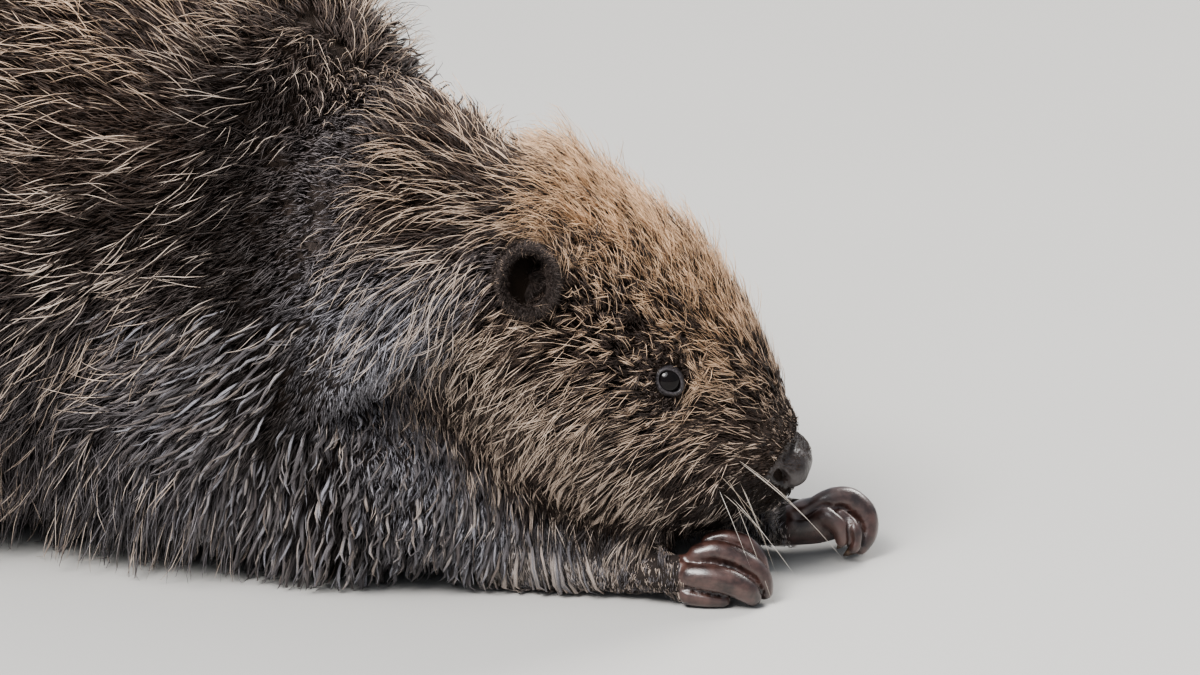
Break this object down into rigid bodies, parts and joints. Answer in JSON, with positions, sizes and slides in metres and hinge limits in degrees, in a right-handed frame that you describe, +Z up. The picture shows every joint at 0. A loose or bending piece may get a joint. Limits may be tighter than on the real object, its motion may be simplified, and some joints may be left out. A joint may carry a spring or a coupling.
{
  "type": "beaver",
  "caption": "Life-size beaver crouched on its belly with both hands held together in front of its muzzle, with webbed hind feet and a flat scaly tail.",
  "frame": {"origin": "on the floor, under the middle of the bounding box", "axes": "+X towards the head along the body and tail, +Y to the animal's left, +Z up"},
  "size_m": [0.9406, 0.3696, 0.2817],
  "materials": {
    "body_fur": "dark brown underfur under long tan guard hairs",
    "head_fur": "golden brown guard hairs over dark brown, in spiky locks",
    "bare_skin": "bare wrinkled skin, chocolate brown with a soft shine",
    "tail_skin": "dark grey scaly leathery skin",
    "nose_skin": "pebbled bare skin with a damp shine",
    "eye": "dark glassy eyeball",
    "claw": "dark horn, worn pale at the tip"
  },
  "bodies": {
    "root": {"head": "head_fur", "nose": "nose_skin", "right_eye": "eye", "right_ear": "head_fur", "left_eye": "eye", "left_ear": "head_fur", "neck": "body_fur", "trunk": "body_fur", "right_upper_arm": "body_fur", "right_forearm": "body_fur", "right_hand": "bare_skin", "right_index_claw": "claw", "right_middle_claw": "claw", "right_ring_claw": "claw", "right_little_claw": "claw", "right_thumb_claw": "claw", "left_upper_arm": "body_fur", "left_forearm": "body_fur", "left_hand": "bare_skin", "left_index_claw": "claw", "left_middle_claw": "claw", "left_ring_claw": "claw", "left_little_claw": "claw", "left_thumb_claw": "claw", "right_thigh": "body_fur", "right_hind_foot": "bare_skin", "right_first_toe_claw": "claw", "right_second_toe_claw": "claw", "right_third_toe_claw": "claw", "right_fourth_toe_claw": "claw", "right_fifth_toe_claw": "claw", "left_thigh": "body_fur", "left_hind_foot": "bare_skin", "left_first_toe_claw": "claw", "left_second_toe_claw": "claw", "left_third_toe_claw": "claw", "left_fourth_toe_claw": "claw", "left_fifth_toe_claw": "claw", "tail_root": "body_fur", "tail_paddle": "tail_skin"}
  },
  "joints": []
}
